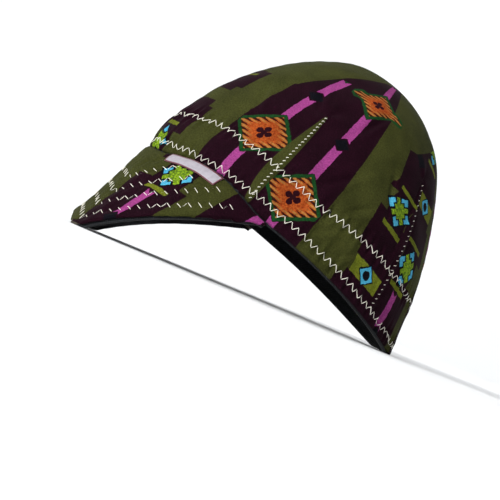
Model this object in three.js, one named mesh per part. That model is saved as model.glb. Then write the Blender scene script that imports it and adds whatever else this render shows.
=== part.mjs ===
// Welding cap: a soft fabric crown in two halves, with a sweatband inside its rim and a
// wide quilted bill that hangs from the front of the rim. Millimetres, +Z up, the wearer's
// left is +X and the front is -Y. The cap rests on the floor on the two front corners of
// the bill and on the nape of the rim, with its origin under the middle of its box.
import * as THREE from 'three';
import { mergeVertices } from 'three/addons/utils/BufferGeometryUtils.js';

// Driving sizes, in millimetres and degrees
const crownLength = 215;        // rim, nape to front seam
const crownWidth = 158;         // rim, side to side
const crownHeight = 135;        // apex above the plane of the rim
const frontDip = 7;             // the front of the rim lies this far below its plane
const sideRise = 6;             // and its sides, over the ears, this far above it
const clothThickness = 1.5;     // one wall of the crown or of the bill's top
const rimTilt = 20.5;           // the rim rises to the front by this much as the cap rests
const settle = 1.5;             // how far the resting cloth is pressed flat
const seamGap = 0.3;            // clearance where two pieces of cloth meet
const bandHeight = 38;          // sweatband above the rim
const bandThickness = 1.2;
const bandShow = 1.3;           // sweatband edge that shows below the free rim
const bandShowStart = 0.03;     // radians past the bill's end where that edge comes out
const bandShowFull = 0.12;      // and where it shows in full
const billLength = 66.5;        // middle of the bill, seam to front edge
const billCornerLength = 79.5;  // the same at its two front corners
const billLean = 0.09;          // forward lean of the bill at its middle, run over drop
const billSideLean = 0.36;      // and what its sides lean more than that
const billFlare = 0.30;         // sideways spread of the bill, run over drop
const billStart = 124;          // where the bill leaves the rim, from the nape
const billCornerRound = 6;      // rounding of the front corners
const billTipWidth = 2.5;       // where the bill runs out along the rim
const billCornerShare = 0.40;   // turn of the front corners, as a share of the bill's half turn
const billBowLimit = 4;         // the front edge's bow stops growing past this much
const underThickness = 1.2;
const underShow = 0.9;          // edge of the under cloth that shows past the top cloth
const labelLength = 42;
const labelWidth = 7;
const labelThickness = 0.6;
const labelStart = 49;          // from the middle of the bill seam to the label, along it
const dartLift = 1.1;           // how proud the stitched-down dart stands
const dartWidth = 10;
const dartTip = 1;              // the leaf's rounding at its ends
const dartFoot = 0.15;          // the leaf starts this far along its sine, so its foot is wide
const dartFullness = 0.7;       // under 1 keeps the leaf wide over more of its length
const seamWelt = 0.8;           // the centre seam's allowance shows as a low ridge
const seamWeltWidth = 7;

// Mesh steps
const crownColumns = 40;
const crownRows = 20;
const bandColumns = 80;
const bandRows = 3;
const billColumns = 48;
const billRows = 7;
const labelColumns = 10;
const labelRows = 2;
const dartSteps = 12;

// Steps of the calculation
const domeStep = 0.004;         // share of a turn or a row, for the crown's normals
const billStep = 0.01;          // radians or millimetres, for the bill's normals
const slopeStep = 5;            // millimetres of a bill generator, for its slope at the floor
const rimStep = 0.002;          // radians, for lengths along the rim
const halvings = 40;            // of a bisection
const weldDistance = 1e-4;      // corners nearer than this are one corner

// Crown sections from the rim to the apex. rise is a share of crownHeight; back, middle and
// front are places along crownLength from the nape; side is a share of half of crownWidth.
const crownSections = [
  { rise: 0.00, back: 0.000, middle: 0.470, front: 1.000, side: 1.000 },
  { rise: 0.15, back: 0.035, middle: 0.475, front: 1.006, side: 1.025 },
  { rise: 0.30, back: 0.070, middle: 0.480, front: 0.985, side: 1.030 },
  { rise: 0.45, back: 0.112, middle: 0.487, front: 0.955, side: 1.000 },
  { rise: 0.60, back: 0.168, middle: 0.497, front: 0.908, side: 0.935 },
  { rise: 0.75, back: 0.235, middle: 0.510, front: 0.843, side: 0.828 },
  { rise: 0.87, back: 0.315, middle: 0.525, front: 0.769, side: 0.672 },
  { rise: 0.96, back: 0.420, middle: 0.540, front: 0.685, side: 0.415 },
  { rise: 1.00, back: 0.549, middle: 0.549, front: 0.549, side: 0.000 },
];

// Darts of each crown half, from a foot just over the rim to a tip. The turns are shares of
// the half turn from the front seam to the nape, the rows shares of the way to the apex.
const darts = [
  { footTurn: 0.383, footRow: 0.02, tipTurn: 0.372, tipRow: 0.50 },
  { footTurn: 0.711, footRow: 0.02, tipTurn: 0.722, tipRow: 0.46 },
];

const degrees = Math.PI / 180;
const tiltSine = Math.sin(rimTilt * degrees);
const tiltCosine = Math.cos(rimTilt * degrees);

// Catmull-Rom value of one column of the section table at a place between its rows
function sectionValue(column, place) {
  const last = crownSections.length - 1;
  const start = Math.min(Math.floor(place), last - 1);
  const share = place - start;
  const row = (index) => {
    if (index < 0) {
      return 2 * crownSections[0][column] - crownSections[1][column];
    }
    if (index <= last) {
      return crownSections[index][column];
    }
    const mirrored = { rise: 'rise', middle: 'middle', back: 'front', front: 'back', side: 'side' };
    const value = crownSections[last - 1][mirrored[column]];
    return column === 'side' ? -value : value;
  };
  const [a, b, c, d] = [row(start - 1), row(start), row(start + 1), row(start + 2)];
  const bend = 2 * a - 5 * b + 4 * c - d;
  const twist = 3 * b - 3 * c + d - a;
  return b + 0.5 * share * ((c - a) + share * (bend + share * twist));
}

// The cap's own frame: x to the wearer's left, along from the nape to the front in the plane
// of the rim, high square to that plane. Anything that would sink is pressed flat.
function place(point) {
  const y = -point.y * tiltCosine + point.z * tiltSine;
  return new THREE.Vector3(point.x, y, Math.max(floorHeight(point), 0));
}

function floorHeight(point) {
  return point.y * tiltSine + point.z * tiltCosine - settle;
}

// Plain outer surface of the left half: turn 0 is the front seam, PI the nape seam
function domePoint(turn, row) {
  const rows = crownSections.length - 1;
  const t = row * rows;
  const along = Math.cos(turn);
  const middle = sectionValue('middle', t);
  const reach = along >= 0
    ? sectionValue('front', t) - middle
    : middle - sectionValue('back', t);
  const half = sectionValue('side', t) * crownWidth / 2;
  const rise = sectionValue('rise', t);
  return new THREE.Vector3(
    half * Math.sin(turn),
    crownLength * (middle + reach * along),
    crownHeight * rise + rimHeight(turn) * (1 - rise) ** 2);
}

// The rim's own curve over its plane: 0 at the nape, up over the ears, down at the front
function rimHeight(turn) {
  const nod = frontDip / 2;
  const mean = (sideRise - nod) / 2;
  return mean - nod * Math.cos(turn) - (mean + nod) * Math.cos(2 * turn);
}

function surfaceNormal(surface, a, b, step) {
  const acrossA = surface(a + step, b).sub(surface(a - step, b));
  const low = Math.max(b - step, 0);
  const acrossB = surface(a, b + step).sub(surface(a, low));
  return acrossA.cross(acrossB).normalize();
}

function domeNormal(turn, row) {
  if (row > 1 - domeStep) {
    return new THREE.Vector3(0, 0, 1);
  }
  const normal = surfaceNormal(domePoint, turn, row, domeStep);
  const outward = domePoint(turn, row).sub(domePoint(Math.PI / 2, 1)).dot(normal);
  return outward < 0 ? normal.negate() : normal;
}

// Each dart as a leaf: points up its middle with the half width of the leaf there
const dartLeaves = darts.map((dart) => {
  const leaf = [];
  for (let index = 0; index <= dartSteps; index += 1) {
    const share = index / dartSteps;
    const turn = THREE.MathUtils.lerp(dart.footTurn, dart.tipTurn, share) * Math.PI;
    const row = THREE.MathUtils.lerp(dart.footRow, dart.tipRow, share);
    const phase = THREE.MathUtils.lerp(dartFoot, 1, share);
    const fullness = Math.sin(Math.PI * phase) ** dartFullness;
    leaf.push({ at: domePoint(turn, row), half: 0.5 * dartWidth * fullness + dartTip });
  }
  return leaf;
});

// Height of the darts' and the centre seam's low relief over the plain surface
function relief(point) {
  let lift = 0;
  for (const { at, half } of dartLeaves.flat()) {
    const share = at.distanceTo(point) / half;
    lift = Math.max(lift, dartLift * (1 - share * share));
  }
  const seam = point.x / (seamWeltWidth / 2);
  return Math.max(lift, seamWelt * (1 - seam * seam), 0);
}

function crownPoint(turn, row, depth) {
  const point = domePoint(turn, row);
  const lift = depth === 0 ? relief(point) : -depth;
  point.addScaledVector(domeNormal(turn, row), lift);
  return point;
}

// Bill: generators hang from the rim seam, lean forward and spread a little to the sides
const rimAt = (turn) => domePoint(turn, 0);
const rimFront = crownSections[0].front * crownLength;
const rimMiddle = crownSections[0].middle * crownLength;
const billTurn = Math.acos((billStart - rimMiddle) / (rimFront - rimMiddle));
const cornerTurn = billCornerShare * billTurn;

function softMinimum(a, b, round) {
  const overlap = Math.max(round - Math.abs(a - b), 0) / round;
  return Math.min(a, b) - overlap * overlap * round / 4;
}

function billDrop(turn) {
  const side = Math.abs(turn);
  const cornerAlong = rimAt(cornerTurn).y;
  const alongSide = (rimAt(side).y - billStart) / (cornerAlong - billStart) * billCornerLength;
  const bow = Math.min((side / cornerTurn) ** 2, billBowLimit);
  const alongFront = billLength + (billCornerLength - billLength) * bow;
  return Math.max(softMinimum(alongSide, alongFront, billCornerRound), billTipWidth);
}

function billSurface(turn, drop) {
  const seam = rimAt(turn);
  const lean = billLean + billSideLean * Math.sin(turn) ** 2;
  const flare = billFlare * Math.sin(turn);
  const fall = drop / Math.hypot(1, lean, flare);
  return new THREE.Vector3(
    seam.x + fall * flare,
    seam.y + fall * lean,
    seam.z - seamGap - fall);
}

function billPoint(turn, drop, depth) {
  const point = billSurface(turn, drop);
  const normal = surfaceNormal(billSurface, turn, drop, billStep);
  const outward = normal.y * Math.cos(turn) + normal.x * Math.sin(turn) < 0 ? -1 : 1;
  return point.addScaledVector(normal, -depth * outward);
}

// The bill's cloth ends at the floor: a length of generator that would sink is pressed back
function billLengthToFloor(turn, drop, depth) {
  const height = (length) => floorHeight(billPoint(turn, length, depth));
  const sunk = Math.min(height(drop), 0);
  return drop + sunk * slopeStep / (height(drop - slopeStep) - height(drop));
}

// A wall of cloth as a closed solid. at(a, b, depth) gives a point in the cap's own frame,
// for a and b from 0 to 1; depth picks the outer or the inner face.
function wall(columns, rows, loop, depths, at) {
  const positions = [];
  const indices = [];
  const around = loop ? columns : columns + 1;
  for (const depth of depths) {
    for (let row = 0; row <= rows; row += 1) {
      for (let column = 0; column < around; column += 1) {
        const point = at(column / columns, row / rows, depth);
        positions.push(...place(point).toArray());
      }
    }
  }
  const face = around * (rows + 1);
  const vertex = (side, column, row) => side * face + row * around + column % around;
  const quad = (...corners) => {
    const [a, b, c, d] = corners.map((corner) => vertex(...corner));
    indices.push(a, b, c, a, c, d);
  };
  for (let column = 0; column < columns; column += 1) {
    const next = column + 1;
    for (let row = 0; row < rows; row += 1) {
      const above = row + 1;
      quad([0, column, row], [0, next, row], [0, next, above], [0, column, above]);
      quad([1, column, row], [1, column, above], [1, next, above], [1, next, row]);
    }
    quad([0, next, 0], [0, column, 0], [1, column, 0], [1, next, 0]);
    quad([0, column, rows], [0, next, rows], [1, next, rows], [1, column, rows]);
  }
  if (!loop) {
    for (let row = 0; row < rows; row += 1) {
      const above = row + 1;
      quad([0, 0, row], [0, 0, above], [1, 0, above], [1, 0, row]);
      quad([0, columns, above], [0, columns, row], [1, columns, row], [1, columns, above]);
    }
  }
  return closedGeometry(positions, indices);
}

// Merges equal corners, drops faces that shrank to a line and turns the faces outward
function closedGeometry(positions, indices) {
  let geometry = new THREE.BufferGeometry();
  geometry.setAttribute('position', new THREE.Float32BufferAttribute(positions, 3));
  geometry.setIndex(indices);
  geometry = mergeVertices(geometry, weldDistance);
  const index = geometry.getIndex();
  const at = geometry.getAttribute('position');
  const corner = (order) => new THREE.Vector3().fromBufferAttribute(at, order);
  const kept = [];
  let volume = 0;
  for (let start = 0; start < index.count; start += 3) {
    const [a, b, c] = [index.getX(start), index.getX(start + 1), index.getX(start + 2)];
    if (a !== b && b !== c && c !== a) {
      kept.push([a, b, c]);
      volume += corner(a).dot(corner(b).cross(corner(c)));
    }
  }
  geometry.setIndex(kept.flatMap(([a, b, c]) => (volume < 0 ? [a, c, b] : [a, b, c])));
  geometry.computeVertexNormals();
  return geometry;
}

function mirrorX(geometry) {
  const positions = Array.from(geometry.getAttribute('position').array);
  for (let order = 0; order < positions.length; order += 3) {
    positions[order] = -positions[order];
  }
  return closedGeometry(positions, Array.from(geometry.getIndex().array));
}

function crownHalf() {
  return wall(crownColumns, crownRows, false, [0, clothThickness], (a, b, depth) => {
    const point = crownPoint(a * Math.PI, b, depth);
    point.x += seamGap / 2;
    return point;
  });
}

// Row of the section table, as a share, that lies at a height above the rim
function rowAtHeight(high) {
  let [low, top] = [0, 1];
  for (let pass = 0; pass < halvings; pass += 1) {
    const middle = (low + top) / 2;
    if (domePoint(0, middle).z < high) {
      low = middle;
    } else {
      top = middle;
    }
  }
  return low;
}

function sweatband() {
  const outer = clothThickness + seamGap;
  const topRow = rowAtHeight(bandHeight);
  const depths = [outer, outer + bandThickness];
  return wall(bandColumns, bandRows, true, depths, (a, b, depth) => {
    const around = a * 2 * Math.PI;
    const turn = around > Math.PI ? 2 * Math.PI - around : around;
    const point = crownPoint(turn, b * topRow, depth);
    if (b === 0) {
      const past = turn - billTurn;
      const free = THREE.MathUtils.smoothstep(past, bandShowStart, bandShowFull);
      point.z -= bandShow * free;
    }
    point.x = around > Math.PI ? -point.x : point.x;
    return point;
  });
}

function billLayer(outerDepth, thickness, extra) {
  const depths = [outerDepth, outerDepth + thickness];
  return wall(billColumns, billRows, false, depths, (a, b, depth) => {
    const turn = THREE.MathUtils.lerp(-billTurn, billTurn, a);
    const length = billLengthToFloor(turn, billDrop(turn) + extra, depth);
    return billPoint(turn, b * length, depth);
  });
}

// Turn of the rim at a distance from the middle of the front seam, measured along the rim
function turnAtRimLength(length) {
  let turn = 0;
  let run = 0;
  while (run < length) {
    run += rimAt(turn + rimStep).distanceTo(rimAt(turn));
    turn += rimStep;
  }
  return turn;
}

function labelTab() {
  const start = turnAtRimLength(labelStart);
  const end = turnAtRimLength(labelStart + labelLength);
  const depths = [-seamGap - labelThickness, -seamGap];
  return wall(labelColumns, labelRows, false, depths, (a, b, depth) => (
    billPoint(THREE.MathUtils.lerp(start, end, a), seamGap + b * labelWidth, depth)));
}

const fabric = (color, roughness) => (
  new THREE.MeshStandardMaterial({ color, roughness, metalness: 0 }));
const printCloth = fabric(0x4c4a2c, 0.9);
const blackCloth = fabric(0x141518, 0.92);
const labelCloth = fabric(0xe8e2dc, 0.8);

const cap = new THREE.Group();
cap.name = 'welding_cap';
const leftHalf = crownHalf();
const pieces = [
  ['crown_left', leftHalf, printCloth],
  ['crown_right', mirrorX(leftHalf), printCloth],
  ['sweatband', sweatband(), blackCloth],
  ['bill_top', billLayer(0, clothThickness, 0), printCloth],
  ['bill_under', billLayer(clothThickness + seamGap, underThickness, underShow), blackCloth],
  ['label_tab', labelTab(), labelCloth],
];
for (const [name, geometry, material] of pieces) {
  const mesh = new THREE.Mesh(geometry, material);
  mesh.name = name;
  cap.add(mesh);
}

// The origin goes under the middle of the box, on the floor
const box = new THREE.Box3().setFromObject(cap);
const centre = box.getCenter(new THREE.Vector3());
for (const mesh of cap.children) {
  mesh.geometry.translate(0, -centre.y, 0);
}

export default cap;
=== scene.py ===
# Printed cotton welding cap on a pale studio floor: two crown halves with their darts, a
# black sweatband, a quilted bill, a bare label tab and the zigzag thread that joins them.
import math
import random

import bmesh
import bpy
import numpy as np
from mathutils import Matrix, Vector


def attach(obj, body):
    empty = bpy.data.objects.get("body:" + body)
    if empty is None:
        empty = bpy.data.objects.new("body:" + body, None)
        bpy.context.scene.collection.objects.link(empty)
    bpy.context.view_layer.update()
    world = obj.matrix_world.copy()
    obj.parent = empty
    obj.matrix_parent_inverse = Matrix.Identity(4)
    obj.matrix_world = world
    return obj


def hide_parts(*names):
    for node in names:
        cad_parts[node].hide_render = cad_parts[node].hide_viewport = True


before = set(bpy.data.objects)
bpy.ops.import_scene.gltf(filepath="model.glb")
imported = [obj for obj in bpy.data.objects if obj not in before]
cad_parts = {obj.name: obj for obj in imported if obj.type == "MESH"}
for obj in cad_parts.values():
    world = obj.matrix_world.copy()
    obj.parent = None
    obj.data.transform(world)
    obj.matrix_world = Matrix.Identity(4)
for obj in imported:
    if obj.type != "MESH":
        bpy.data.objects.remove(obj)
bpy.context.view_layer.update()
scene = bpy.context.scene


# The cap's form, in millimetres and degrees, as in the model's source

capForm = {
    "length": 215, "width": 158, "height": 135, "frontDip": 7, "sideRise": 6,
    "cloth": 1.5, "tilt": math.radians(20.5), "settle": 1.5, "gap": 0.3, "shift": 115.874,
}
crownSections = {
    "rise": [0.00, 0.15, 0.30, 0.45, 0.60, 0.75, 0.87, 0.96, 1.00],
    "back": [0.000, 0.035, 0.070, 0.112, 0.168, 0.235, 0.315, 0.420, 0.549],
    "middle": [0.470, 0.475, 0.480, 0.487, 0.497, 0.510, 0.525, 0.540, 0.549],
    "front": [1.000, 1.006, 0.985, 0.955, 0.908, 0.843, 0.769, 0.685, 0.549],
    "side": [1.000, 1.025, 1.030, 1.000, 0.935, 0.828, 0.672, 0.415, 0.000],
}
opposite = {"back": "front", "front": "back"}
lastSection = len(crownSections["rise"]) - 1
sectionRows = {}
for column, values in crownSections.items():
    over = crownSections[opposite.get(column, column)][-2] * (-1 if column == "side" else 1)
    sectionRows[column] = np.array([2 * values[0] - values[1]] + values + [over])


def sectionValue(column, t):
    start = np.minimum(np.floor(t), lastSection - 1).astype(int)
    share = t - start
    a, b, c, d = (sectionRows[column][start + step] for step in range(4))
    bend = 2 * a - 5 * b + 4 * c - d
    return b + 0.5 * share * ((c - a) + share * (bend + share * (3 * b - 3 * c + d - a)))


def rimHeight(turn):
    nod = capForm["frontDip"] / 2
    mean = (capForm["sideRise"] - nod) / 2
    return mean - nod * np.cos(turn) - (mean + nod) * np.cos(2 * turn)


def domePoint(turn, row):  # plain crown surface: x, along the rim plane, high over it
    t = row * lastSection
    along = np.cos(turn)
    middle = sectionValue("middle", t)
    front, back = sectionValue("front", t) - middle, middle - sectionValue("back", t)
    rise = sectionValue("rise", t)
    return np.stack([
        sectionValue("side", t) * capForm["width"] / 2 * np.sin(turn),
        capForm["length"] * (middle + np.where(along >= 0, front, back) * along),
        capForm["height"] * rise + rimHeight(turn) * (1 - rise) ** 2,
    ], axis=-1)


def unit(vectors):
    return vectors / np.maximum(np.linalg.norm(vectors, axis=-1, keepdims=True), 1e-9)


def domeNormal(turn, row):
    step = 0.004
    row = np.minimum(row, 1 - 2 * step)
    low = np.maximum(row - step, 0)
    around = domePoint(turn + step, row) - domePoint(turn - step, row)
    upward = domePoint(turn, row + step) - domePoint(turn, low)
    normal = unit(np.cross(around, upward))
    middle = np.array([0.0, 0.55 * capForm["length"], 0.45 * capForm["height"]])
    facing = np.sum(normal * (domePoint(turn, row) - middle), axis=-1, keepdims=True)
    return np.where(facing < 0, -normal, normal)


floorLook = {"blend": 0.09, "sink": 0.04, "reach": 1.5}  # cloth comes to rest without a hard crease


def toWorld(points, rest=0.0):  # the cap's own frame to the row's frame, in metres
    sine, cosine = math.sin(capForm["tilt"]), math.cos(capForm["tilt"])
    y = -points[..., 1] * cosine + points[..., 2] * sine + capForm["shift"]
    z = points[..., 1] * sine + points[..., 2] * cosine - capForm["settle"]
    over = z - rest
    soft = 0.5 * (over + np.sqrt(over * over + floorLook["blend"])) - floorLook["sink"]
    z = np.where(over < floorLook["reach"], np.maximum(soft, 0) + rest, z)
    return np.stack([points[..., 0], y, z], axis=-1) / 1000


def smooth(low, high, value):
    share = np.clip((value - low) / (high - low), 0, 1)
    return share * share * (3 - 2 * share)


# Lengths over the cloth: along the rim from the front seam, and up from the rim

rimFront = crownSections["front"][0] * capForm["length"]
rimMiddle = crownSections["middle"][0] * capForm["length"]

turnSteps = np.linspace(0, math.pi, 361)
rowSteps = np.linspace(0, 1, 241)
rimPoints = domePoint(turnSteps, np.zeros_like(turnSteps))
rimLengths = np.r_[0, np.cumsum(np.linalg.norm(np.diff(rimPoints, axis=0), axis=1))]
gridPoints = domePoint(*np.meshgrid(turnSteps, rowSteps, indexing="ij"))
climbs = np.linalg.norm(np.diff(gridPoints, axis=1), axis=2)
climbLengths = np.concatenate([np.zeros((len(turnSteps), 1)), np.cumsum(climbs, axis=1)], axis=1)


def rimLength(turn):
    return np.sign(turn) * np.interp(np.abs(turn), turnSteps, rimLengths)


def turnAt(length):
    return np.sign(length) * np.interp(np.abs(length), rimLengths, turnSteps)


def climbLength(turn, row):
    a = np.clip(turn / math.pi, 0, 1) * (len(turnSteps) - 1)
    b = np.clip(row, 0, 1) * (len(rowSteps) - 1)
    i, j = np.minimum(a.astype(int), len(turnSteps) - 2), np.minimum(b.astype(int), len(rowSteps) - 2)
    u, v = a - i, b - j
    low = climbLengths[i, j] * (1 - u) + climbLengths[i + 1, j] * u
    high = climbLengths[i, j + 1] * (1 - u) + climbLengths[i + 1, j + 1] * u
    return low * (1 - v) + high * v


def rowAt(turn, climb):  # the row that lies a length up from the rim
    low, high = np.zeros_like(turn), np.ones_like(turn)
    for halving in range(24):
        middle = (low + high) / 2
        short = climbLength(turn, middle) < climb
        low, high = np.where(short, middle, low), np.where(short, high, middle)
    return low


seamRise = {"height": 6.6, "start": 32, "top": 80, "fall": 86, "end": 131}


def seamLift(t):  # over the temples the bill's seam runs a little up the crown
    away = np.abs(t)
    rising = smooth(seamRise["start"], seamRise["top"], away)
    return seamRise["height"] * rising * smooth(seamRise["end"], seamRise["fall"], away)


def hemRow(turn):
    return rowAt(np.abs(turn), seamLift(rimLength(turn)))


# Relief of the sewn cloth: darts, seams, puckers along the thread, slack and soft folds

dartLook = {
    "front": {"foot": (111, 4), "tip": (107.5, 80), "width": 4.9, "lift": 1.1, "thread": 0.24},
    "back": {"foot": (219, 5), "tip": (220, 98), "width": 4.2, "lift": 0.9, "thread": 0.15},
}
seamRows = {  # distance of the sewn rows from the rim, at lengths along it
    "lower": ([0, 10, 84, 151, 253, 296], [4.6, 4.8, 10.4, 8.7, 6.0, 5.6]),
    "upper": ([0, 10, 61, 93, 145, 200, 248, 296], [27, 28, 34.5, 33, 29, 34, 35.5, 36]),
}
clothLook = {
    "groove": 0.6, "pucker": 0.75, "puff": 0.45, "drag": 0.7, "slack": 0.9, "ruffle": 0.5,
    "welt": 0.8, "valley": 1.5, "besideDart": 0.35, "tipFold": 0.7, "hemDip": 1.0,
    "hemRound": 1.1, "seamGap": 0.02, "cells": (250, 140),
}
creases = (  # length along the rim, height over it, slope, depth
    (92, 86, 0.9, 1.6), (142, 94, -0.6, 1.5), (188, 70, 0.5, 1.4), (150, 52, -0.9, 1.7),
    (172, 44, -1.1, 1.5), (60, 66, 0.7, 1.3), (163, 22, -1.3, 1.2), (182, 18, -1.1, 1.1),
)


def dartShape(dart, t, s):  # share of the leaf's half width, and how far up the leaf
    (footT, footS), (tipT, tipS) = dart["foot"], dart["tip"]
    share = np.clip((s - footS) / (tipS - footS), -0.05, 1.05)
    centre = footT + (tipT - footT) * share
    half = dart["width"] * np.sin(math.pi * np.clip(0.12 + 0.88 * share, 0, 1)) ** 0.75 + 0.05
    return (t - centre) / half, share, half


def waves(a, b, seed, scale, count=7):  # a smooth sum of plane waves, about -1 to 1
    dice = random.Random(seed)
    total = np.zeros_like(a)
    for index in range(count):
        angle, phase = dice.uniform(0, math.pi), dice.uniform(0, 2 * math.pi)
        wave = 2 * math.pi / (scale * dice.uniform(0.7, 1.5))
        total += np.sin((a * math.cos(angle) + b * math.sin(angle)) * wave + phase)
    return total / math.sqrt(count)


def crownRelief(turn, row, side):
    t, s = rimLength(turn), climbLength(turn, row)
    point = domePoint(turn, row)
    lift = np.zeros_like(t)
    for dart in dartLook.values():
        across, share, half = dartShape(dart, t, s)
        ends = smooth(-0.04, 0.02, share) * smooth(1.04, 0.97, share)
        leaf = np.clip(1 - np.abs(across) ** 5, 0, 1) * ends
        lift += dart["lift"] * leaf * (0.75 + 0.25 * across)
        beside = np.exp(-((np.abs(across) - 1.35) * half / 1.6) ** 2) * smooth(1.05, 0.9, share)
        lift -= clothLook["besideDart"] * beside
        tipT, tipS = dart["tip"]
        spread = np.hypot((t - tipT) * 0.6, s - tipS - 4)
        folds = np.cos(np.arctan2(s - tipS, t - tipT) * 3)
        lift += clothLook["tipFold"] * np.exp(-(spread / 9) ** 2) * folds
    seam = np.abs(point[..., 0])
    lift += clothLook["welt"] * np.clip(1 - (seam / 3.6) ** 4, 0, 1)
    lift -= clothLook["valley"] * np.exp(-(seam / 0.8) ** 2)
    nearSeam = np.exp(-((seam - 4.5) / 3) ** 2)
    lift += 0.18 * nearSeam * np.sin(s * 2 * math.pi / 11 + side) * smooth(8, 30, s)
    for places, heights in seamRows.values():
        away = s - np.interp(t, places, heights)
        lift -= clothLook["groove"] * np.exp(-(away / 2.6) ** 2)
        ripple = np.sin(t * 2 * math.pi / 7.3 + 1.7 * np.sin(t / 23 + side))
        ripple += 0.6 * np.sin(t * 2 * math.pi / 4.9)
        lift += clothLook["pucker"] * ripple * np.exp(-(away / 6.5) ** 2) * smooth(0, 8, seam)
    lower = np.interp(t, *seamRows["lower"])
    upper = np.interp(t, *seamRows["upper"])
    band = np.clip((s - lower) / (upper - lower), 0, 1)
    lift += clothLook["puff"] * np.sin(math.pi * band)
    drag = np.sin(t * 2 * math.pi / 17 + s * 0.05 + side * 2)
    drag *= smooth(120, 150, t) * smooth(215, 185, t)
    drag *= smooth(upper - 30, upper - 8, s) * smooth(upper + 16, upper + 2, s)
    lift += clothLook["drag"] * drag
    level = smooth(0, 16, seam)  # both halves stay smooth and even along the seam
    top = smooth(30, 60, s) * level
    over = point[..., 2] - np.abs(point[..., 0])
    lift += clothLook["slack"] * top * waves(point[..., 1] + 40 * side, over, 11 + side, 95)
    lift += clothLook["ruffle"] * top * waves(point[..., 1], over + 30 * side, 5 + side, 34)
    for centreT, centreS, slope, depth in creases:
        run = (t - centreT) + slope * (s - centreS)
        reach = (s - centreS) - slope * (t - centreT)
        lift -= level * depth * np.exp(-(run / 3.4) ** 2) * np.exp(-(reach / 17) ** 2)
        lift += 0.7 * level * depth * np.exp(-((run - 6) / 4.2) ** 2) * np.exp(-(reach / 19) ** 2)
    hem = s - seamLift(t)
    seamed = smooth(billTurn + 0.05, billTurn, turn)  # tucked in where the bill is sewn on
    lift -= clothLook["hemDip"] * seamed * np.exp(-(hem / 2.2) ** 2)
    edge = np.clip(1 - hem / clothLook["hemRound"], 0, 1)
    return lift - 0.75 * edge * edge


def crownPoint(turn, row, side):
    relief = np.expand_dims(crownRelief(turn, row, side), -1)
    point = domePoint(turn, row) + domeNormal(turn, row) * relief
    point[..., 0] = side * (np.maximum(point[..., 0], 0) + clothLook["seamGap"])
    return point


plainTop = {  # row above which the cloth is plain, against the share of a half turn
    "turns": [0.00, 0.22, 0.244, 0.261, 0.289, 0.333, 0.383, 0.478, 0.53, 0.59, 0.65, 0.70, 0.77, 1.0],
    "rows": [0.50, 0.50, 0.522, 0.589, 0.688, 0.771, 0.854, 0.92, 0.92, 0.62, 0.64, 0.68, 0.73, 0.80],
}


def plainShare(turn, row, side):  # over 0 on the front dart's leaf and on the plain top
    across, share = dartShape(dartLook["front"], rimLength(turn), climbLength(turn, row))[:2]
    ends = np.minimum(share + 0.02, 1.02 - share) * 8
    leaf = np.minimum(1 - np.abs(across), ends)
    top = (row - np.interp(turn / math.pi, plainTop["turns"], plainTop["rows"])) * 20
    return np.clip(np.maximum(leaf, top if side > 0 else -1), -1, 1)


# Where each bit of cloth lies on the printed bolt

boltLook = {  # where the left and right half start on the bolt, and how the print runs off it
    "left": 0, "right": 37, "shrink": 0.2, "shrinkFrom": 60, "gather": 5, "narrow": 0.3,
    "drift": 6, "widest": 2.2,
}


def boltAcross(turn, row, side):  # the right half's print crosses the top nearly straight
    straight = rimLength(math.pi / 2) + rimMiddle - domePoint(turn, row)[..., 1]
    share = smooth(0.2, 1.0, row) * (0 if side > 0 else 1)
    return rimLength(turn) * (1 - share) + straight * share


def easedShare(t):  # the part of each half whose top is gathered, so its print comes out smaller
    return smooth(104, 114, t) * smooth(168, 150, t)


def crownPrint(turn, row, side):
    t, s = boltAcross(turn, row, side), climbLength(turn, row)
    gathered = smooth(101, 115, s) - 0.5 * smooth(80, 101, s) - 0.5 * smooth(115, 140, s)
    onBolt = s + boltLook["shrink"] * np.maximum(s - boltLook["shrinkFrom"], 0)
    onBolt += boltLook["gather"] * easedShare(t) * gathered
    onBolt += boltLook["left" if side > 0 else "right"]
    t = t - boltLook["drift"] * smooth(68, 80, s) * smooth(180, 190, t) * smooth(232, 222, t)
    return np.stack([t, onBolt], axis=-1) / 1000


def crownSpread(turn, row, side):  # width of the cloth there, over its width on the bolt
    step = 0.01
    width = np.linalg.norm(domePoint(turn + step, row) - domePoint(turn - step, row), axis=-1)
    printed = np.abs(boltAcross(turn + step, row, side) - boltAcross(turn - step, row, side))
    spread = np.minimum(width / np.maximum(printed, 1e-3), boltLook["widest"])
    gathered = easedShare(rimLength(turn)) * smooth(92, 104, climbLength(turn, row))
    return spread * (1 + (boltLook["narrow"] * gathered if side > 0 else 0))


# Bill: generators hang from the rim seam

billForm = {
    "length": 66.5, "cornerLength": 79.5, "cornerShare": 0.40, "bowLimit": 4, "round": 6,
    "tip": 2.5, "lean": 0.09, "sideLean": 0.36, "flare": 0.30, "start": 124,
    "under": 1.2, "underShow": 0.9, "rowSpacing": 11.8, "firstRow": 9,
}
billLook = {
    "quilt": 0.55, "pucker": 0.2, "slack": 0.9, "ruffle": 0.25, "seamDip": 0.9, "edgeRound": 0.6,
    "rest": 1.6, "underRest": 1.25, "underStart": 2.1, "underGap": 0.3, "onBolt": 19,
    "cells": (230, 66),
}
billTurn = math.acos((billForm["start"] - rimMiddle) / (rimFront - rimMiddle))
cornerTurn = billForm["cornerShare"] * billTurn


def rimAt(turn, row=0.0):
    point = domePoint(np.abs(turn), row + np.zeros_like(turn))
    point[..., 0] *= np.sign(turn)
    return point


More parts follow.
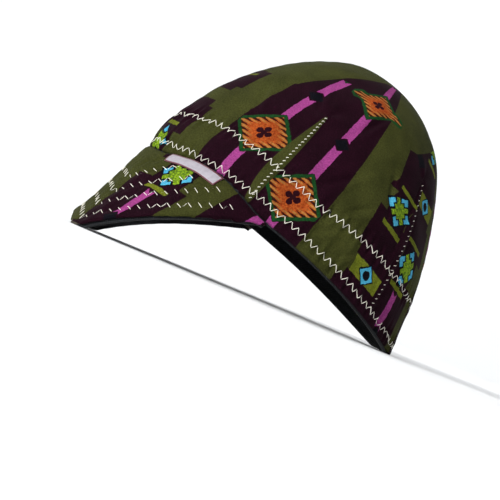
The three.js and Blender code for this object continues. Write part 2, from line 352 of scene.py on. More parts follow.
def billDrop(turn):
    cornerAlong = float(rimAt(np.array([cornerTurn]))[0, 1])
    reach = (rimAt(turn)[..., 1] - billForm["start"]) / (cornerAlong - billForm["start"])
    bow = np.minimum((turn / cornerTurn) ** 2, billForm["bowLimit"])
    alongSide = reach * billForm["cornerLength"]
    alongFront = billForm["length"] + (billForm["cornerLength"] - billForm["length"]) * bow
    overlap = np.maximum(billForm["round"] - np.abs(alongSide - alongFront), 0) / billForm["round"]
    least = np.minimum(alongSide, alongFront) - overlap * overlap * billForm["round"] / 4
    return np.maximum(least, billForm["tip"])


seamTurns = np.linspace(-billTurn - 0.1, billTurn + 0.1, 600)
seamShifts = rimAt(seamTurns, hemRow(seamTurns)) - rimAt(seamTurns)  # to where the bill is sewn on


def billSurface(turn, drop):
    seam = rimAt(turn)
    left = np.clip(1 - drop / np.maximum(billDrop(turn), 1), 0, 1) ** 1.5
    shift = np.stack([np.interp(turn, seamTurns, seamShifts[:, axis]) for axis in range(3)], axis=-1)
    seam = seam + shift * left[..., None]
    lean = billForm["lean"] + billForm["sideLean"] * np.sin(turn) ** 2
    flare = billForm["flare"] * np.sin(turn)
    fall = drop / np.sqrt(1 + lean ** 2 + flare ** 2)
    return np.stack([
        seam[..., 0] + fall * flare,
        seam[..., 1] + fall * lean,
        seam[..., 2] - capForm["gap"] - fall,
    ], axis=-1)


def billNormal(turn, drop):
    step = 0.01
    around = billSurface(turn + step, drop) - billSurface(turn - step, drop)
    down = billSurface(turn, drop + step) - billSurface(turn, np.maximum(drop - step, 0))
    normal = unit(np.cross(around, down))
    facing = normal[..., 1] * np.cos(turn) + normal[..., 0] * np.sin(turn)
    return np.where(facing[..., None] < 0, -normal, normal)


outlineTurns = np.linspace(-billTurn, billTurn, 500)
outlinePlan = np.stack([rimLength(outlineTurns), billDrop(outlineTurns)], axis=-1)


def billEdgeDistance(turn, drop):  # over the cloth, to the bill's free edge
    plan = np.stack([rimLength(turn), drop], axis=-1).reshape(-1, 1, 2)
    away = np.concatenate([
        np.min(np.linalg.norm(part - outlinePlan[None], axis=2), axis=1)
        for part in np.array_split(plan, max(1, len(plan) // 4000))
    ])
    return away.reshape(np.shape(turn))


def billRelief(turn, drop):
    t = rimLength(turn)
    edge = billEdgeDistance(turn, drop)
    rows = (edge - billForm["firstRow"]) / billForm["rowSpacing"]
    away = (rows - np.round(rows)) * billForm["rowSpacing"]
    rowThere = smooth(-0.7, -0.4, rows) * smooth(4.6, 4.2, rows)
    lift = billLook["quilt"] * (1 - np.exp(-(away / 2.6) ** 2) * rowThere)
    ripple = np.sin(t * 2 * math.pi / 6.7 + 2 * np.sin(t / 19)) + 0.5 * np.sin(t * 2 * math.pi / 4.3)
    lift += billLook["pucker"] * ripple * np.exp(-(away / 5) ** 2) * rowThere
    slack = billLook["slack"] * waves(t, drop, 21, 60) + billLook["ruffle"] * waves(t, drop, 22, 22)
    lift += slack * smooth(3, 14, drop)
    lift -= billLook["seamDip"] * np.exp(-(drop / 1.6) ** 2)
    bend = np.clip(1 - edge / 1.2, 0, 1)
    return lift * smooth(0, 1.5, edge) - billLook["edgeRound"] * bend * bend


def billPoint(turn, drop, lift):
    return billSurface(turn, drop) + billNormal(turn, drop) * np.expand_dims(lift, -1)


def billPrint(turn, drop):
    t = rimLength(turn)
    places = [-200, -18, 50, 85, 104, 125.5, 200]
    onBolt = np.interp(t, places, [-206.5, -24.5, 3, 38, 64.5, 86, 160.5])
    return np.stack([onBolt, billLook["onBolt"] - drop + 0 * t], axis=-1) / 1000


# Pieces of cloth: a grid laid over a surface, given its thickness by Solidify

def placed(name, data):
    made = bpy.data.objects.new(name, data)
    scene.collection.objects.link(made)
    return made


def clothSheet(name, cells, lay, thickness, outward):
    bm = bmesh.new()
    bmesh.ops.create_grid(bm, x_segments=cells[0], y_segments=cells[1], size=0.5)
    bm.verts.ensure_lookup_table()
    shares = np.array([vert.co[:2] for vert in bm.verts]) + 0.5
    laid = lay(shares[:, 0], shares[:, 1])
    for vert, co in zip(bm.verts, laid["co"].tolist()):
        vert.co = co
    for key in ("spread", "plain"):
        if key in laid:
            layer = bm.verts.layers.float.new(key)
            for vert, value in zip(bm.verts, laid[key].tolist()):
                vert[layer] = value
    uv = bm.loops.layers.uv.new("bolt")
    places = laid["print"].tolist()
    for face in bm.faces:
        face.smooth = True
        for loop in face.loops:
            loop[uv].uv = places[loop.vert.index]
    bmesh.ops.remove_doubles(bm, verts=bm.verts, dist=2e-5)
    bm.normal_update()
    turned = sum(face.normal.dot(outward(face.calc_center_median())) for face in bm.faces)
    if turned < 0:
        bmesh.ops.reverse_faces(bm, faces=bm.faces)
    mesh = bpy.data.meshes.new(name)
    bm.to_mesh(mesh)
    bm.free()
    piece = placed(name, mesh)
    wall = piece.modifiers.new("clothThickness", "SOLIDIFY")
    wall.thickness = thickness / 1000
    wall.offset = -1
    wall.use_quality_normals = True
    wall.material_offset = 1
    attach(piece, "root")
    return piece


def fromMiddle(centre):
    return lambda place: place - Vector(centre)


def layCrown(side):
    def lay(a, b):
        turn = a * math.pi
        hem = hemRow(turn)
        row = hem + (1 - hem) * b
        return {
            "co": toWorld(crownPoint(turn, row, side)),
            "print": crownPrint(turn, row, side),
            "spread": crownSpread(turn, row, side),
            "plain": plainShare(turn, row, side),
        }
    return lay


crownPieces = [
    clothSheet(name, clothLook["cells"], layCrown(side), capForm["cloth"], fromMiddle((0, 0, 0.07)))
    for name, side in (("crownLeftCloth", 1), ("crownRightCloth", -1))
]
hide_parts("crown_left")
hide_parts("crown_right")
print("crown cloth laid")

bandLook = {"top": 39.5, "thickness": 1.2, "show": 1.3, "rest": 0.3, "cells": (330, 30)}
bandTop = float(rowAt(np.array([0.0]), np.array([bandLook["top"]]))[0])


def layBand(a, b):
    around = a * 2 * math.pi
    turn = np.where(around > math.pi, 2 * math.pi - around, around)
    hem = hemRow(turn)
    row = hem + b * (bandTop - hem)
    depth = capForm["cloth"] + capForm["gap"]
    t, s = rimLength(turn), climbLength(turn, row)
    lift = 0.22 * waves(around * 90, s, 31, 26) * smooth(2, 8, s)
    lift -= 0.25 * np.exp(-((s - np.interp(t, *seamRows["lower"])) / 2.4) ** 2)
    point = domePoint(turn, row) + domeNormal(turn, row) * np.expand_dims(lift - depth, -1)
    point[..., 2] -= bandLook["show"] * smooth(0.06, 0, b)
    point[..., 0] = np.where(around > math.pi, -1, 1) * np.maximum(point[..., 0], 0)
    length = np.where(around > math.pi, 2 * rimLengths[-1] - t, t)
    return {
        "co": toWorld(point, bandLook["rest"]),
        "print": np.stack([length, s], axis=-1) / 1000,
    }


sweatband = clothSheet("sweatbandTwill", bandLook["cells"], layBand, bandLook["thickness"],
                       fromMiddle((0, 0.02, 0.05)))
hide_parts("sweatband")
print("sweatband laid")


def layBill(depth, start, extra, relief, rest):  # depth behind the face, rest over the floor
    def lay(a, b):
        turn = (2 * a - 1) * billTurn
        drop = start + b * (billDrop(turn) + extra - start)
        lift = (billRelief(turn, np.minimum(drop, billDrop(turn))) * relief) - depth
        return {
            "co": toWorld(billPoint(turn, drop, lift), rest),
            "print": billPrint(turn, drop),
            "spread": np.ones_like(turn),
            "plain": -np.ones_like(turn),
        }
    return lay


def billOutward(place):
    return Vector((place.x * 0.8, -0.06, 0.03))


billTop = clothSheet("billTopCloth", billLook["cells"], layBill(0, 0, 0, 1, billLook["rest"]),
                     capForm["cloth"], billOutward)
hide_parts("bill_top")
underDepth = capForm["cloth"] + capForm["gap"] + billLook["underGap"]
billUnder = clothSheet("billUnderTwill", billLook["cells"],
                       layBill(underDepth, billLook["underStart"], billForm["underShow"], 0.5,
                               billLook["underRest"]),
                       billForm["under"], billOutward)
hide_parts("bill_under")
print("bill laid")

labelLook = {"start": 49, "length": 42, "width": 7, "thickness": 0.6, "selvedge": 0.75,
             "clear": 0.35, "sag": 0.6, "cells": (84, 16)}


def layLabel(a, b):
    turn = turnAt(labelLook["start"] + labelLook["length"] * a)
    drop = capForm["gap"] + labelLook["width"] * b
    sag = 0.6 * np.sin(math.pi * a) + 0.8 * np.sin(math.pi * b) + 0.25 * np.sin(a * 17 + b * 3)
    lift = capForm["gap"] + labelLook["thickness"] + labelLook["clear"] + labelLook["sag"] * sag
    return {
        "co": toWorld(billPoint(turn, drop, lift)),
        "print": np.stack([a * labelLook["length"], b * labelLook["width"]], axis=-1) / 1000,
    }


label = clothSheet("labelTape", labelLook["cells"], layLabel, labelLook["thickness"], billOutward)
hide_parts("label_tab")
print("label laid")


# Thread: each zigzag stitch is a short arch that dips into the cloth at its needle holes

threadLook = {"radius": 0.23, "billRadius": 0.22, "arch": 0.42, "sink": 0.3, "pitch": 5.7,
              "height": 4.2, "pull": 0.75, "billPull": 1.7, "steps": 5, "dartStitches": 26}


def sewnRow(name, stitches, lift, radius, pull=0.0):  # every second stitch is pulled in deeper
    dice = random.Random(name)
    curve = bpy.data.curves.new(name, "CURVE")
    curve.dimensions = "3D"
    curve.bevel_depth = radius / 1000
    curve.bevel_resolution = 1
    curve.use_fill_caps = True
    shares = np.linspace(0, 1, threadLook["steps"])
    for index, (start, end) in enumerate(np.array(stitches)):
        points, normals = lift(*(start + np.outer(shares, end - start)).T)
        slack = dice.uniform(0.6, 1.1) - (index % 2) * pull * dice.uniform(0.6, 1.2)
        height = threadLook["arch"] * slack + threadLook["sink"]
        arch = np.sin(math.pi * shares) ** 0.6 * height - threadLook["sink"]
        points = toWorld(points + normals * np.expand_dims(arch, -1))
        spline = curve.splines.new("POLY")
        spline.points.add(threadLook["steps"] - 1)
        for point, co in zip(spline.points, points):
            point.co = (*co, 1)
    holder = placed(name, curve)
    bpy.context.view_layer.update()
    shape = holder.evaluated_get(bpy.context.evaluated_depsgraph_get())
    mesh = bpy.data.meshes.new_from_object(shape)
    bpy.data.objects.remove(holder)
    mesh.name = name
    mesh.polygons.foreach_set("use_smooth", [True] * len(mesh.polygons))
    row = placed(name, mesh)
    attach(row, "root")
    return row


def crownLift(side):
    def lift(t, s):
        turn = turnAt(t)
        row = rowAt(turn, s)
        return crownPoint(turn, row, side), domeNormal(turn, row) * np.array([side, 1, 1])
    return lift


def billLift(t, drop):
    turn = turnAt(t)
    return billPoint(turn, drop, billRelief(turn, drop)), billNormal(turn, drop)


def zigzag(path, seed):  # path of a row in the cloth's plan: length along it, height
    dice = random.Random(seed)
    path = np.array(path)
    lengths = np.r_[0, np.cumsum(np.linalg.norm(np.diff(path, axis=0), axis=1))]
    half, stitches, reach, up = threadLook["height"] / 2, [], 0.0, -1
    last = None
    while reach < lengths[-1]:
        place, ahead, behind = (
            np.array([np.interp(at, lengths, path[:, axis]) for axis in range(2)])
            for at in (reach, reach + 1, reach - 1)
        )
        along = (ahead - behind) / np.linalg.norm(ahead - behind)
        new = place + np.array([-along[1], along[0]]) * up * half * dice.uniform(0.88, 1.08)
        if last is not None:
            stitches.append((last, new))
        last, up = new, -up
        reach += threadLook["pitch"] / 2 * dice.uniform(0.93, 1.07)
    return stitches


threadPieces = []
for side, word in ((1, "Left"), (-1, "Right")):
    for level, (places, heights) in seamRows.items():
        path = [(at, np.interp(at, places, heights)) for at in np.arange(1.5, rimLengths[-1] - 1.5, 2)]
        stitches = zigzag(path, f"{word}{level}")
        row = sewnRow(f"zigzag{level.capitalize()}{word}", stitches, crownLift(side),
                      threadLook["radius"], threadLook["pull"])
        threadPieces.append(row)
    for key, dart in dartLook.items():
        stitches = []
        for index in range(threadLook["dartStitches"]):
            share = 0.03 + index / (threadLook["dartStitches"] + 1)
            s = dart["foot"][1] + (dart["tip"][1] - dart["foot"][1]) * share
            across, leaf, half = dartShape(dart, 0.0, s)
            t = (0.42 - across) * half
            stitches.append(((t - 0.6, s - 0.5), (t + 0.7, s + 0.55)))
        threadPieces.append(sewnRow(f"dartStitch{key.capitalize()}{word}", stitches,
                                    crownLift(side), dart["thread"]))

for index in range(4):
    distance = billForm["firstRow"] + index * billForm["rowSpacing"]
    path = []
    for turn in np.linspace(-billTurn, billTurn, 201):
        depths = np.linspace(0, float(billDrop(np.array([turn]))[0]), 160)
        gaps = billEdgeDistance(np.full_like(depths, turn), depths)
        inside = np.nonzero(gaps >= distance)[0]
        if len(inside) and depths[inside[-1]] > 3.5:
            path.append((float(rimLength(np.array([turn]))[0]), float(depths[inside[-1]])))
    stitches = zigzag(path, f"bill{index}")
    threadPieces.append(sewnRow(f"zigzagBill{index + 1}", stitches, billLift,
                                threadLook["billRadius"], threadLook["billPull"]))
print("thread sewn")


# Materials. Colours are sRGB hex values

def linear(value):
    channels = [int(value[index:index + 2], 16) / 255 for index in (1, 3, 5)]
    return [*(c / 12.92 if c <= 0.04045 else ((c + 0.055) / 1.055) ** 2.4 for c in channels), 1.0]


def add(tree, kind, inputs=(), **settings):
    made = tree.nodes.new("ShaderNode" + kind)
    for name, value in settings.items():
        setattr(made, name, value)
    for key, value in (inputs.items() if isinstance(inputs, dict) else enumerate(inputs)):
        if isinstance(value, bpy.types.Node):
            value = value.outputs[0]
        if isinstance(value, bpy.types.NodeSocket):
            tree.links.new(value, made.inputs[key])
        else:
            made.inputs[key].default_value = value
    return made


def newMaterial(name):
    material = bpy.data.materials.new(name)
    material.use_nodes = True
    material.node_tree.nodes.clear()
    return material, material.node_tree


def surfaced(material, sockets):
    tree = material.node_tree
    add(tree, "OutputMaterial", [add(tree, "BsdfPrincipled", sockets)])
    return material


def boltPlace(tree):  # where the cloth lies on its bolt, in mm
    place = add(tree, "UVMap", uv_map="bolt")
    return add(tree, "VectorMath", {0: place, 3: 1000.0}, operation="SCALE")


def mottled(tree, noise, drawn):  # a stretch of the noise drawn out to other values
    noise = add(tree, "TexNoise", noise)
    return add(tree, "MapRange", [noise.outputs[0], *drawn])


dyes = {name: linear(value) for name, value in {
    "olive": "#333516", "burgundy": "#19040e", "pink": "#863670", "orange": "#98491c",
    "rust": "#7c2d0e", "tan": "#937138", "leafGreen": "#123818", "brown": "#260f0a",
    "sky": "#4394b2", "lime": "#79961b", "moss": "#455f19", "limeOlive": "#5a6119",
    "night": "#08080e", "wine": "#21060d",
}.items()}
printLook = {"repeat": 47.5}  # half of the diamonds' spacing, in mm


def newGroup(name):  # its inlet, and the places mirrored into one quarter of a motif
    group = bpy.data.node_groups.new(name, "ShaderNodeTree")
    for socket, kind in (("Across", "Float"), ("Along", "Float"), ("Cloth", "Color")):
        group.interface.new_socket(name=socket, in_out="INPUT", socket_type="NodeSocket" + kind)
    group.interface.new_socket(name="Colour", in_out="OUTPUT", socket_type="NodeSocketColor")
    inlet = group.nodes.new("NodeGroupInput")
    across = add(group, "Math", [inlet.outputs[0]], operation="ABSOLUTE")
    along = add(group, "Math", [inlet.outputs[1], printLook["repeat"]], operation="PINGPONG")
    return group, inlet, across, along


def closeGroup(group, colour):
    outlet = group.nodes.new("NodeGroupOutput")
    group.links.new(colour.outputs[0], outlet.inputs[0])
    return group


dashLook = {"half": 3.1, "start": 17.2, "end": 43.6, "notch": 0.85}


def dashMask(g, x, y):  # a ribbon with a swallow tail at both ends
    slope = dashLook["notch"]
    fork = add(g, "Math", [x, slope, -dashLook["half"] * slope], operation="MULTIPLY_ADD")
    low = add(g, "Math", [y, fork], operation="ADD")
    low = add(g, "Math", [low, dashLook["start"]], operation="GREATER_THAN")
    high = add(g, "Math", [y, fork], operation="SUBTRACT")
    high = add(g, "Math", [high, dashLook["end"]], operation="LESS_THAN")
    dash = add(g, "Math", [x, dashLook["half"]], operation="LESS_THAN")
    dash = add(g, "Math", [dash, low], operation="MULTIPLY")
    return add(g, "Math", [dash, high], operation="MULTIPLY")


def diamondChain():  # toothed rhombus, notched pink dashes and a dark node, end to end
    g, inlet, x, y = newGroup("diamondChain")
    size = {"across": 19.5, "along": 16.5, "tooth": 1.65, "bite": 7.0}
    slope = size["across"] / size["along"]
    flank = add(g, "Math", [y, slope, x], operation="MULTIPLY_ADD")
    halo = add(g, "Math", [flank, size["across"] + 3.4], operation="LESS_THAN")
    near = add(g, "Math", [x, size["across"] + 0.6], operation="LESS_THAN")
    halo = add(g, "Math", [halo, near], operation="MULTIPLY")
    tooth = add(g, "Math", [y, size["tooth"]], operation="PINGPONG")
    notch = add(g, "MapRange", [tooth, 0.4 * size["tooth"], size["tooth"], 0.0, 1.0])
    reach = add(g, "Math", [notch, -size["bite"], size["across"]], operation="MULTIPLY_ADD")
    body = add(g, "Math", [flank, reach], operation="LESS_THAN")
    envelope = add(g, "Math", [flank, size["across"]], operation="LESS_THAN")
    grain = add(g, "CombineXYZ", [inlet.outputs[0], inlet.outputs[1], 0.0])
    grain = {"Vector": grain, "Scale": 0.55, "Detail": 3.0, "Roughness": 0.7}
    grain = mottled(g, grain, (0.38, 0.62, 0.0, 1.0))
    dyed = add(g, "MixRGB", [grain, dyes["rust"], dyes["orange"]])
    outer = add(g, "MapRange", [flank, size["across"] - 9.5, size["across"] - 4.0, 0.0, 0.85])
    crest = add(g, "MapRange", [tooth, 0.0, 0.55 * size["tooth"], 1.0, 0.0])
    crest = add(g, "Math", [crest, outer], operation="MULTIPLY")
    dyed = add(g, "MixRGB", [crest, dyed, dyes["tan"]])
    colour = add(g, "MixRGB", [halo, inlet.outputs[2], dyes["leafGreen"]])
    colour = add(g, "MixRGB", [envelope, colour, dyes["brown"]])
    colour = add(g, "MixRGB", [body, colour, dyed])
    for first, second in ((x, y), (y, x)):
        away = add(g, "Math", [first, 3.3], operation="SUBTRACT")
        away = add(g, "Math", [away, 2.0], operation="POWER")
        square = add(g, "Math", [second, second, away], operation="MULTIPLY_ADD")
        lobe = add(g, "Math", [square, 2.1 ** 2], operation="LESS_THAN")
        near = add(g, "Math", [first, 3.4], operation="LESS_THAN")
        bar = add(g, "Math", [second, 1.25], operation="LESS_THAN")
        bar = add(g, "Math", [bar, near], operation="MULTIPLY")
        lobe = add(g, "Math", [lobe, bar], operation="MAXIMUM")
        colour = add(g, "MixRGB", [lobe, colour, dyes["wine"]])
    colour = add(g, "MixRGB", [dashMask(g, x, y), colour, dyes["pink"]])
    past = add(g, "Math", [printLook["repeat"], y], operation="SUBTRACT")
    knot = add(g, "Math", [past, 1.1, x], operation="MULTIPLY_ADD")
    knot = add(g, "Math", [knot, 5.6], operation="LESS_THAN")
    colour = add(g, "MixRGB", [knot, colour, dyes["night"]])
    return closeGroup(g, colour)


def crossChain(name, dashed, squared):  # crosses, a sky square or a dash and knot between
    g, inlet, x, y = newGroup(name)
    half = printLook["repeat"]
    climb = add(g, "Math", [inlet.outputs[1], half * 3, -half], operation="WRAP")
    past = add(g, "Math", [climb, half], operation="SUBTRACT")
    past = add(g, "Math", [past], operation="ABSOLUTE")
    y = add(g, "Math", [past, half], operation="SUBTRACT")
    y = add(g, "Math", [y], operation="ABSOLUTE")
    bar = add(g, "Math", [y, 14.9, 1.5], operation="COMPARE")
    within = add(g, "Math", [x, 10.0], operation="LESS_THAN")
    bar = add(g, "Math", [bar, within], operation="MULTIPLY")
    colour = add(g, "MixRGB", [bar, inlet.outputs[2], dyes["limeOlive"]])
    if dashed:
        below = add(g, "Math", [climb, -1.0], operation="MULTIPLY")
        colour = add(g, "MixRGB", [dashMask(g, x, below), colour, dyes["pink"]])
    knot = add(g, "Math", [past, -1.0, x], operation="MULTIPLY_ADD")
    knot = add(g, "Math", [knot, 5.6 - half * 2], operation="LESS_THAN")
    colour = add(g, "MixRGB", [knot, colour, dyes["night"]])
    if squared:
        wide = add(g, "Math", [past, 5.5], operation="LESS_THAN")
        short = add(g, "Math", [x, 13.0], operation="LESS_THAN")
        wide = add(g, "Math", [wide, short], operation="MULTIPLY")
        colour = add(g, "MixRGB", [wide, colour, dyes["limeOlive"]])
        square = add(g, "Math", [past, x], operation="ADD")
        for reach, tint in ((7.6, "night"), (6.4, "sky")):
            inside = add(g, "Math", [square, reach], operation="LESS_THAN")
            colour = add(g, "MixRGB", [inside, colour, dyes[tint]])
        ring = add(g, "Math", [past, past], operation="MULTIPLY")
        ring = add(g, "Math", [x, x, ring], operation="MULTIPLY_ADD")
        ring = add(g, "Math", [ring, 3.0 ** 2], operation="LESS_THAN")
        colour = add(g, "MixRGB", [ring, colour, dyes["night"]])
    p = add(g, "Math", [x, y], operation="ADD")
    p = add(g, "Math", [p, 0.7071], operation="MULTIPLY")
    q = add(g, "Math", [x, y], operation="SUBTRACT")
    q = add(g, "Math", [q, 0.7071], operation="MULTIPLY")
    q = add(g, "Math", [q], operation="ABSOLUTE")
    least = add(g, "Math", [p, q], operation="MINIMUM")
    most = add(g, "Math", [p, q], operation="MAXIMUM")
    for low, high, clear, tint in ((4.4, 9.6, 2.0, "night"), (5.5, 8.4, 3.1, "sky")):
        inside = add(g, "Math", [most, (low + high) / 2, (high - low) / 2], operation="COMPARE")
        off = add(g, "Math", [least, clear], operation="GREATER_THAN")
        inside = add(g, "Math", [inside, off], operation="MULTIPLY")
        colour = add(g, "MixRGB", [inside, colour, dyes[tint]])
    grain = add(g, "CombineXYZ", [inlet.outputs[0], inlet.outputs[1], 3.0])
    grain = mottled(g, {"Vector": grain, "Scale": 0.7, "Detail": 2.0}, (0.4, 0.62, 0.0, 1.0))
    lime = add(g, "MixRGB", [grain, dyes["moss"], dyes["lime"]])
    heart = add(g, "Math", [most, 4.6], operation="LESS_THAN")
    arm = add(g, "Math", [least, 1.7], operation="LESS_THAN")
    reach = add(g, "Math", [most, 8.6], operation="LESS_THAN")
    arm = add(g, "Math", [arm, reach], operation="MULTIPLY")
    heart = add(g, "Math", [heart, arm], operation="MAXIMUM")
    colour = add(g, "MixRGB", [heart, colour, lime])
    return closeGroup(g, colour)


chains = {
    "diamond": diamondChain(),
    "cross": crossChain("crossChain", False, True),
    "dashedCross": crossChain("dashedCrossChain", True, True),
    "plainCross": crossChain("plainCrossChain", True, False),
}
chainPlaces = [  # kind, place across the bolt, a motif's place along it, where it ends
    ("diamond", 86.0, 45.6, 123), ("diamond", 132.0, 22.7, 400),
    ("diamond", -46.0, -17.0, 400), ("diamond", -92.0, -40.0, 400),
    ("cross", 203.5, -28.4, 400), ("dashedCross", 236.5, 45.7, 400), ("plainCross", 20.5, 6.0, 90),
]
plainBands = [(108.95, 44.45), (-69.0, 44.5)]  # middle and half width
steppedBands = [(20.5, 6.0), (203.5, -28.4), (236.5, 45.7)]  # middle and a cross's place
bandSteps = [  # half width from a place along the band, the crosses at 0 and 95
    (-47.5, 20.5), (-8.5, 12), (8.5, 20.5), (36, 15.5), (42, 0), (53, 15.5), (59, 20.5),
    (86.5, 12), (103.5, 20.5),
]
boltEdges = (-125.0, 258.5)


def printedCotton(name, reverse):
    # Printed cotton drill: matte, almost no gloss or sheen, deep dyes, a fine dry weave
    material, tree = newMaterial(name)
    place = boltPlace(tree)
    wobble = add(tree, "TexNoise", {"Vector": place, "Scale": 0.35, "Detail": 3.0})
    wobble = add(tree, "VectorMath", [wobble.outputs["Color"], (0.5, 0.5, 0.5)], operation="SUBTRACT")
    wobble = add(tree, "VectorMath", {0: wobble, 3: 1.5}, operation="SCALE")
    inked = add(tree, "VectorMath", [place, wobble], operation="ADD")
    inked = add(tree, "SeparateXYZ", [inked])
    t = add(tree, "Math", [inked.outputs[0], boltEdges[1], boltEdges[0]], operation="WRAP")
    s = inked.outputs[1]
    spread = add(tree, "Attribute", attribute_name="spread")
    spread = add(tree, "Math", [spread.outputs["Fac"], 0.55], operation="MAXIMUM")
    plum = None
    for centre, half in plainBands:
        inside = add(tree, "Math", [t, centre, half], operation="COMPARE")
        plum = add(tree, "Math", [plum, inside], operation="MAXIMUM") if plum else inside
    for centre, phase in steppedBands:
        y = add(tree, "Math", [s, phase], operation="SUBTRACT")
        y = add(tree, "Math", [y, printLook["repeat"] * 3, -printLook["repeat"]], operation="WRAP")
        y = add(tree, "MapRange", [y, -printLook["repeat"], printLook["repeat"] * 3])
        steps = add(tree, "ValToRGB", [y])
        ramp = steps.color_ramp
        ramp.interpolation = "CONSTANT"
        ramp.elements.remove(ramp.elements[1])
        for order, (at, half) in enumerate(bandSteps):
            share = at / printLook["repeat"] / 4 + 0.25
            stop = ramp.elements[0] if order == 0 else ramp.elements.new(share)
            stop.position = share
            stop.color = [half / 25] * 3 + [1]
        half = add(tree, "Math", [steps, 25.0], operation="MULTIPLY")
        x = add(tree, "Math", [t, centre], operation="SUBTRACT")
        x = add(tree, "Math", [x], operation="ABSOLUTE")
        inside = add(tree, "Math", [x, half], operation="LESS_THAN")
        plum = add(tree, "Math", [plum, inside], operation="MAXIMUM")
    colour = add(tree, "MixRGB", [plum, dyes["olive"], dyes["burgundy"]])
    for kind, centre, phase, end in chainPlaces:
        x = add(tree, "Math", [t, centre], operation="SUBTRACT")
        x = add(tree, "Math", [x, spread], operation="MULTIPLY")
        past = add(tree, "Math", [s, end], operation="GREATER_THAN")
        x = add(tree, "Math", [past, 999.0, x], operation="MULTIPLY_ADD")
        y = add(tree, "Math", [s, phase], operation="SUBTRACT")
        colour = add(tree, "Group", [x, y, colour], node_tree=chains[kind])
    plain = add(tree, "Attribute", attribute_name="plain")
    plain = add(tree, "Math", [plain.outputs["Fac"], 0.0], operation="GREATER_THAN")
    colour = add(tree, "MixRGB", [plain, colour, dyes["olive"]])
    fade = mottled(tree, {"Vector": place, "Scale": 0.06, "Detail": 4.0}, (0.3, 0.7, 0.8, 1.18))
    fleck = mottled(tree, {"Vector": place, "Scale": 0.9, "Detail": 2.0}, (0.3, 0.7, 0.72, 1.28))
    tone = add(tree, "Math", [fade, fleck], operation="MULTIPLY")
    tone = add(tree, "CombineColor", [tone, tone, tone])
    colour = add(tree, "MixRGB", [1.0, colour, tone], blend_type="MULTIPLY")
    if reverse:  # the back of the cloth, where the dye shows through weakly
        colour = add(tree, "MixRGB", [0.45, colour, linear("#7d7869")])
    weave = add(tree, "SeparateXYZ", [place])
    pitch = 2 * math.pi / 1.5  # threads at 1.5 mm, coarser than the cloth's 0.4 mm, to show
    threads = []
    for axis in range(2):
        strand = add(tree, "Math", [weave.outputs[axis], pitch], operation="MULTIPLY")
        threads.append(add(tree, "Math", [strand], operation="SINE"))
    height = add(tree, "Math", [*threads, fleck], operation="MULTIPLY_ADD")
    bump = add(tree, "Bump", {"Strength": 0.35, "Distance": 0.00025, "Height": height})
    return surfaced(material, {
        "Base Color": colour, "Roughness": 0.85, "IOR": 1.45, "Specular IOR Level": 0.05,
        "Sheen Weight": 0.01, "Sheen Roughness": 0.5, "Normal": bump,
    })


def blackTwill():
    # Black cotton twill: diagonal ribs that catch a soft grey light
    material, tree = newMaterial("blackTwill")
    place = boltPlace(tree)
    parts = add(tree, "SeparateXYZ", [place])
    ribs = add(tree, "Math", [parts.outputs[0], parts.outputs[1]], operation="ADD")
    ribs = add(tree, "Math", [ribs, 2 * math.pi / 2.0], operation="MULTIPLY")  # 2 mm ribs
    ribs = add(tree, "Math", [ribs], operation="SINE")
    lint = mottled(tree, {"Vector": place, "Scale": 0.8, "Detail": 4.0}, (0.35, 0.7, 0.0, 1.0))
    colour = add(tree, "MixRGB", [lint, linear("#0b0d10"), linear("#1b1d21")])
    bump = add(tree, "Bump", {"Strength": 0.35, "Distance": 0.0002, "Height": ribs})
    return surfaced(material, {
        "Base Color": colour, "Roughness": 0.8, "IOR": 1.45, "Specular IOR Level": 0.3,
        "Sheen Weight": 0.1, "Sheen Roughness": 0.45, "Normal": bump,
    })


def whiteThread():
    # Polyester sewing thread: off-white, with the slight gloss of its twist
    material, tree = newMaterial("whiteThread")
    place = add(tree, "TexCoord")
    grain = add(tree, "TexNoise", {"Vector": place.outputs["Object"], "Scale": 900.0, "Detail": 2.0})
    tone = add(tree, "MapRange", [grain.outputs[0], 0.3, 0.7, 0.0, 1.0])
    colour = add(tree, "MixRGB", [tone, linear("#cfcab8"), linear("#f4f1e6")])
    bump = add(tree, "Bump", {"Strength": 0.3, "Distance": 0.0002, "Height": grain.outputs[0]})
    return surfaced(material, {
        "Base Color": colour, "Roughness": 0.5, "IOR": 1.5, "Sheen Weight": 0.15, "Normal": bump,
    })


def wovenTape():
    # Woven satin tape: smooth, faint ribs across, a dark red selvedge
    material, tree = newMaterial("wovenTape")
    place = boltPlace(tree)
    parts = add(tree, "SeparateXYZ", [place])
    face = None
    for index, key in enumerate(("length", "width")):
        half = labelLook[key] / 2
        within = [parts.outputs[index], half, half - labelLook["selvedge"]]
        inside = add(tree, "Math", within, operation="COMPARE")
        face = add(tree, "Math", [face, inside], operation="MULTIPLY") if face else inside
    ribs = add(tree, "Math", [parts.outputs[0], 2 * math.pi / 1.2], operation="MULTIPLY")
    ribs = add(tree, "Math", [ribs], operation="SINE")
    mottle = add(tree, "TexNoise", {"Vector": place, "Scale": 0.5, "Detail": 3.0})
    colour = add(tree, "MixRGB", [mottle.outputs[0], linear("#7f7a82"), linear("#a8a2aa")])
    colour = add(tree, "MixRGB", [face, linear("#5a1a2a"), colour])
    bump = add(tree, "Bump", {"Strength": 0.25, "Distance": 0.00015, "Height": ribs})
    return surfaced(material, {
        "Base Color": colour, "Roughness": 0.55, "IOR": 1.5, "Sheen Weight": 0.2, "Normal": bump,
    })


outerCotton, innerCotton = printedCotton("printedCotton", False), printedCotton("cottonBack", True)
twill, thread, tape = blackTwill(), whiteThread(), wovenTape()
for piece in (*crownPieces, billTop):
    piece.data.materials.append(outerCotton)
    piece.data.materials.append(innerCotton)
for piece in (sweatband, billUnder):
    piece.data.materials.append(twill)
label.data.materials.append(tape)
for piece in threadPieces:
    piece.data.materials.append(thread)
print("materials made")


# Pale seamless floor that curves up all round, soft lights, and the camera

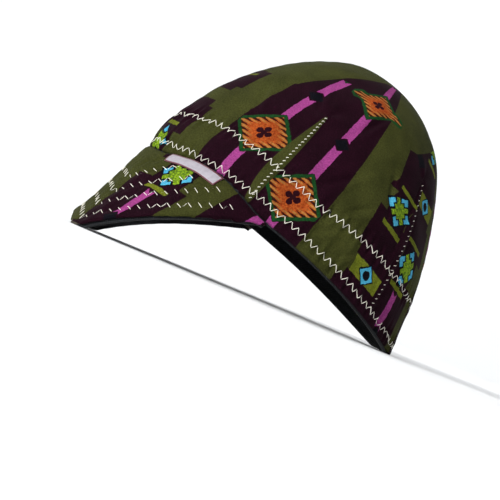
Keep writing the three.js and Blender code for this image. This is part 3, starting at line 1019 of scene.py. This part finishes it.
sweepLook = {"flat": 2.6, "curve": 1.4, "steps": 12, "height": 3.2}


def studioSweep():
    bm = bmesh.new()
    flat, curve = sweepLook["flat"], sweepLook["curve"]
    profile = [(0.0, 0.0), (flat, 0.0)]
    for step in range(1, sweepLook["steps"] + 1):
        angle = math.pi / 2 * step / sweepLook["steps"]
        profile.append((flat + curve * math.sin(angle), curve - curve * math.cos(angle)))
    profile.append((flat + curve, sweepLook["height"]))
    verts = [bm.verts.new((x, 0, z)) for x, z in profile]
    edges = [bm.edges.new(pair) for pair in zip(verts, verts[1:])]
    bmesh.ops.spin(bm, geom=verts + edges, cent=(0, 0, 0), axis=(0, 0, 1), angle=2 * math.pi,
                   steps=96, use_merge=True)
    bmesh.ops.remove_doubles(bm, verts=bm.verts, dist=1e-5)
    bmesh.ops.recalc_face_normals(bm, faces=bm.faces)
    mesh = bpy.data.meshes.new("studioSweep")
    bm.to_mesh(mesh)
    bm.free()
    mesh.polygons.foreach_set("use_smooth", [True] * len(mesh.polygons))
    sweep = placed("studioSweep", mesh)
    paper = newMaterial("studioPaper")[0]  # matte white paper, no gloss to speak of
    mesh.materials.append(surfaced(paper, {"Base Color": linear("#f9fafb"), "Roughness": 0.9}))


studioSweep()

world = bpy.data.worlds.new("studio")
world.use_nodes = True
world.node_tree.nodes["Background"].inputs[0].default_value = linear("#f4f6f8")
world.node_tree.nodes["Background"].inputs[1].default_value = 0.14
scene.world = world
scene.view_settings.view_transform = "Standard"


def areaLight(name, place, aim, size, power):
    data = bpy.data.lights.new(name, "AREA")
    data.shape, data.size, data.energy = "DISK", size, power
    lamp = placed(name, data)
    lamp.location = place
    lamp.rotation_euler = (Vector(aim) - Vector(place)).to_track_quat("-Z", "Y").to_euler()


keyLook = {"place": (1.7, -1.6, 0.95), "aim": (0, -0.03, 0.07), "size": 0.4, "power": 63}
wallLook = {"powers": (9, 9, 52, 14), "out": 1.2, "up": 2.6, "size": 2.0, "reach": 3.4, "aim": 0.2}
areaLight("keyLight", **keyLook)
for index, power in enumerate(wallLook["powers"]):  # the wall behind the cap is the brightest
    heading = Vector((math.cos(index * math.pi / 2), math.sin(index * math.pi / 2), 0))
    areaLight(f"wallLight{index + 1}", heading * wallLook["out"] + Vector((0, 0, wallLook["up"])),
              heading * wallLook["reach"] + Vector((0, 0, wallLook["aim"])), wallLook["size"], power)

cameraLook = {"target": (0, 0.0021, 0.0289), "distance": 0.9, "azimuth": 87, "height": 0.012,
              "roll": 22.7, "pixelsPerMetre": 1480}
target = Vector(cameraLook["target"])
rise = math.asin((cameraLook["height"] - target.z) / cameraLook["distance"])
turned = math.radians(cameraLook["azimuth"])
back = Vector((math.sin(turned) * math.cos(rise), -math.cos(turned) * math.cos(rise), math.sin(rise)))
right = (-back).cross(Vector((0, 0, 1))).normalized()
upward = right.cross(-back)
roll = math.radians(cameraLook["roll"])
cameraRight = right * math.cos(roll) + upward * math.sin(roll)
cameraUp = -right * math.sin(roll) + upward * math.cos(roll)
camera = placed("camera", bpy.data.cameras.new("camera"))
axes = Matrix((cameraRight, cameraUp, back)).transposed().to_4x4()
axes.translation = target + back * cameraLook["distance"]
camera.matrix_world = axes
camera.data.sensor_width = 36
camera.data.lens = 36 * cameraLook["distance"] * cameraLook["pixelsPerMetre"] / 500
camera.data.clip_start = 0.01
scene.camera = camera
print("studio set")

bpy.context.view_layer.update()
